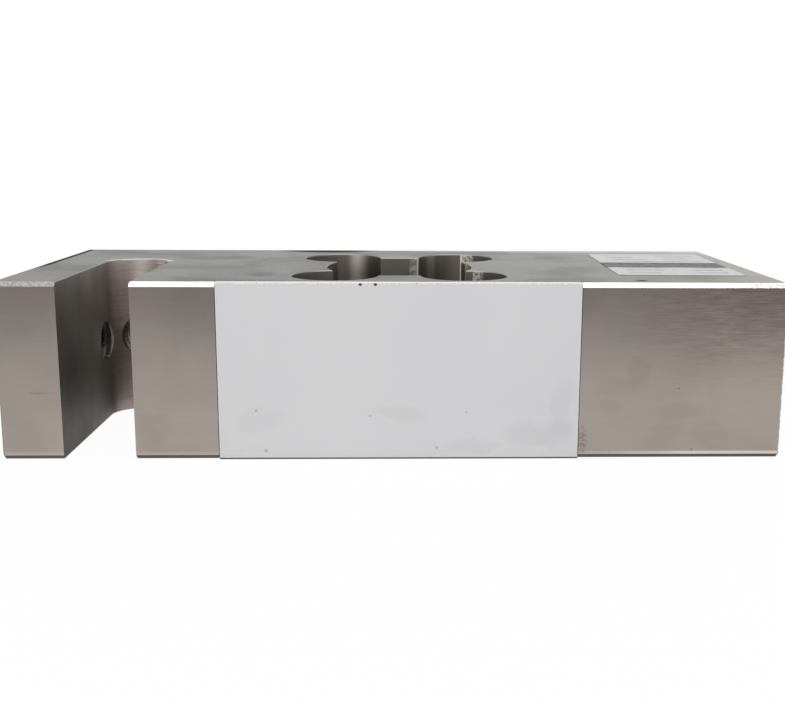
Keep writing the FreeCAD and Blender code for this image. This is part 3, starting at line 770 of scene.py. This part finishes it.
class LOADCELL_OT_label(bpy.types.Operator):
    """Print the blank rating label"""
    bl_idname = "loadcell.label"
    bl_label = "Print Label"

    def execute(self, context):
        dress("rating_label", label_print(context.scene.load_cell_finish))
        return {"FINISHED"}


class LOADCELL_OT_cable_inlet(bpy.types.Operator):
    """Finish the cable inlet's sleeve and grommet"""
    bl_idname = "loadcell.cable_inlet"
    bl_label = "Finish Cable Inlet"

    def execute(self, context):
        dress("inlet_sleeve", turned_brass())
        dress("inlet_grommet", grained("black_rubber_moulded", (0.035, 0.035, 0.036), (0.018, 0.018, 0.018),
                                       0.6, 0.0, 0.0005, 0.00002))
        return {"FINISHED"}


class LOADCELL_OT_gauges(bpy.types.Operator):
    """Finish the strain gauges, their terminals and their leads"""
    bl_idname = "loadcell.gauges"
    bl_label = "Finish Gauges"

    def execute(self, context):
        film = grained("polyimide_film_amber", (0.66, 0.34, 0.07), (0.52, 0.25, 0.04),
                       0.28, 0.0, 0.0008, 0.000003)
        foil = grained("constantan_foil_etched", (0.70, 0.55, 0.42), (0.60, 0.46, 0.34),
                       0.3, 1.0, 0.0003, 0.000003)
        tinned = grained("tinned_copper_bright", (0.74, 0.73, 0.70), (0.62, 0.61, 0.58),
                         0.28, 1.0, 0.0004, 0.000006)
        kinds = {"gauge_film": film, "terminal_strip": film, "gauge_grid": foil, "terminal_pads": tinned,
                 "gauge_leads": tinned}
        for kind, material in kinds.items():
            for side in ("front_left", "front_right", "back_left", "back_right"):
                dress(f"{kind}_{side}", material)
        dress("flex_circuit", film)
        dress("front_jumpers_left", tinned)
        dress("front_jumpers_right", tinned)
        return {"FINISHED"}


class LOADCELL_OT_trimming_board(bpy.types.Operator):
    """Finish the trimming board and its resistors"""
    bl_idname = "loadcell.trimming_board"
    bl_label = "Finish Trimming Board"

    def execute(self, context):
        dress("trimming_board", grained("glass_epoxy_board", (0.10, 0.30, 0.14), (0.07, 0.22, 0.10), 0.35, 0.0,
                                        0.0006, 0.000008))
        ceramic = grained("resistor_ceramic_glazed", (0.07, 0.07, 0.08), (0.04, 0.04, 0.045), 0.22, 0.0, 0.0003,
                          0.000003)
        for number in range(1, 6):
            dress(f"chip_resistor_{number}", ceramic)
        return {"FINISHED"}


def white_where_seen(tree):
    """One where a surface is seen directly or in a reflection, and zero where it only lights things."""
    path = put(tree, "LightPath").outputs
    reflected = calc(tree, "MAXIMUM", path["Is Glossy Ray"], path["Is Transmission Ray"])
    return calc(tree, "MAXIMUM", path["Is Camera Ray"], reflected)


class LOADCELL_OT_stage(bpy.types.Operator):
    """Set the floor, the camera and the studio light"""
    bl_idname = "loadcell.stage"
    bl_label = "Set Stage"

    def execute(self, context):
        stage = context.scene.load_cell_stage
        self.lay_floor()
        self.fill_room(context.scene, stage.room_level)
        self.hang_softbox("softbox_overhead", stage.top_light, (0, -0.15, 0.95), 1.1, 0.8, (0, 0, 0.02))
        self.hang_softbox("softbox_front", stage.front_light, (-0.25, -1.1, 0.55), 0.9, 0.7, (0, 0, 0.02))
        camera = bpy.data.cameras.new("camera")
        camera.lens, camera.sensor_width, camera.clip_start = stage.camera_lens, 36, 0.01
        camera.shift_x = stage.camera_shift
        holder = bpy.data.objects.new("camera", camera)
        context.scene.collection.objects.link(holder)
        turn = (Matrix.Rotation(stage.camera_yaw, 4, "Z")
                @ Matrix.Rotation(math.pi / 2 - stage.camera_pitch, 4, "X")
                @ Matrix.Rotation(stage.camera_roll, 4, "Z"))
        holder.matrix_world = Matrix.Translation(stage.camera_place) @ turn
        context.scene.camera = holder
        context.scene.view_settings.view_transform = "Standard"
        return {"FINISHED"}

    def lay_floor(self):
        sheet = bmesh.new()
        bmesh.ops.create_grid(sheet, x_segments=1, y_segments=1, size=4.0,
                              matrix=Matrix.Translation((0, 0, -0.05 * MM)))
        mesh = bpy.data.meshes.new("floor")
        sheet.to_mesh(mesh)
        sheet.free()
        material = bpy.data.materials.new("floor_white")
        material.use_nodes = True
        tree = material.node_tree
        tree.nodes.clear()
        matt = put(tree, "BsdfDiffuse", {"Color": (0.86, 0.86, 0.86, 1)})
        glow = put(tree, "Emission", {"Color": (1, 1, 1, 1), "Strength": 1.0})
        spot = put(tree, "TexCoord").outputs["Object"]
        away = put(tree, "VectorMath", {0: spot}, operation="LENGTH").outputs["Value"]
        seen = calc(tree, "MULTIPLY", white_where_seen(tree), ramp(tree, away, 0.1, 0.3, 0.96, 1.0))
        mixed = put(tree, "MixShader", {0: seen, 1: matt.outputs[0], 2: glow.outputs[0]})
        put(tree, "OutputMaterial", {"Surface": mixed.outputs[0]})
        mesh.materials.append(material)
        floor = bpy.data.objects.new("floor", mesh)
        bpy.context.scene.collection.objects.link(floor)

    def fill_room(self, scene, level):
        scene.world = bpy.data.worlds.new("studio_room")
        scene.world.use_nodes = True
        tree = scene.world.node_tree
        tree.nodes.clear()
        seen = white_where_seen(tree)
        strength = ramp(tree, seen, 0.0, 1.0, level, 1.0, smooth=False)
        light = put(tree, "Background", {"Color": (1, 1, 1, 1), "Strength": strength})
        put(tree, "OutputWorld", {"Surface": light.outputs[0]})

    def hang_softbox(self, name, power, place_at, width, depth, aim):
        lamp = bpy.data.lights.new(name, "AREA")
        lamp.shape, lamp.size, lamp.size_y, lamp.energy = "RECTANGLE", width, depth, power
        holder = bpy.data.objects.new(name, lamp)
        bpy.context.scene.collection.objects.link(holder)
        look = (Vector(aim) - Vector(place_at)).to_track_quat("-Z", "Y")
        holder.matrix_world = Matrix.Translation(place_at) @ look.to_matrix().to_4x4()


class LOADCELL_PT_panel(bpy.types.Panel):
    """Load cell tools"""
    bl_idname = "LOADCELL_PT_panel"
    bl_label = "Load Cell"
    bl_space_type = "VIEW_3D"
    bl_region_type = "UI"
    bl_category = "Load Cell"

    def draw(self, context):
        layout = self.layout
        for operator in OPERATORS:
            layout.operator(operator.bl_idname)
        for name in GROUPS:
            group = getattr(context.scene, name)
            box = layout.box()
            for prop in group.__annotations__:
                box.prop(group, prop)


OPERATORS = (LOADCELL_OT_block, LOADCELL_OT_threads, LOADCELL_OT_compound, LOADCELL_OT_label,
             LOADCELL_OT_cable_inlet, LOADCELL_OT_gauges, LOADCELL_OT_trimming_board, LOADCELL_OT_stage)
GROUPS = {
    "load_cell_finish": LoadCellFinish,
    "load_cell_threads": LoadCellThreads,
    "load_cell_stage": LoadCellStage,
}


def register():
    for item in (*GROUPS.values(), *OPERATORS, LOADCELL_PT_panel):
        bpy.utils.register_class(item)
    for name, group in GROUPS.items():
        setattr(bpy.types.Scene, name, PointerProperty(type=group))


def unregister():
    for name in GROUPS:
        delattr(bpy.types.Scene, name)
    for item in reversed((*GROUPS.values(), *OPERATORS, LOADCELL_PT_panel)):
        bpy.utils.unregister_class(item)


def main():
    register()
    for operator in OPERATORS:
        family, action = operator.bl_idname.split(".")
        getattr(getattr(bpy.ops, family), action)()


if __name__ == "__main__":
    main()
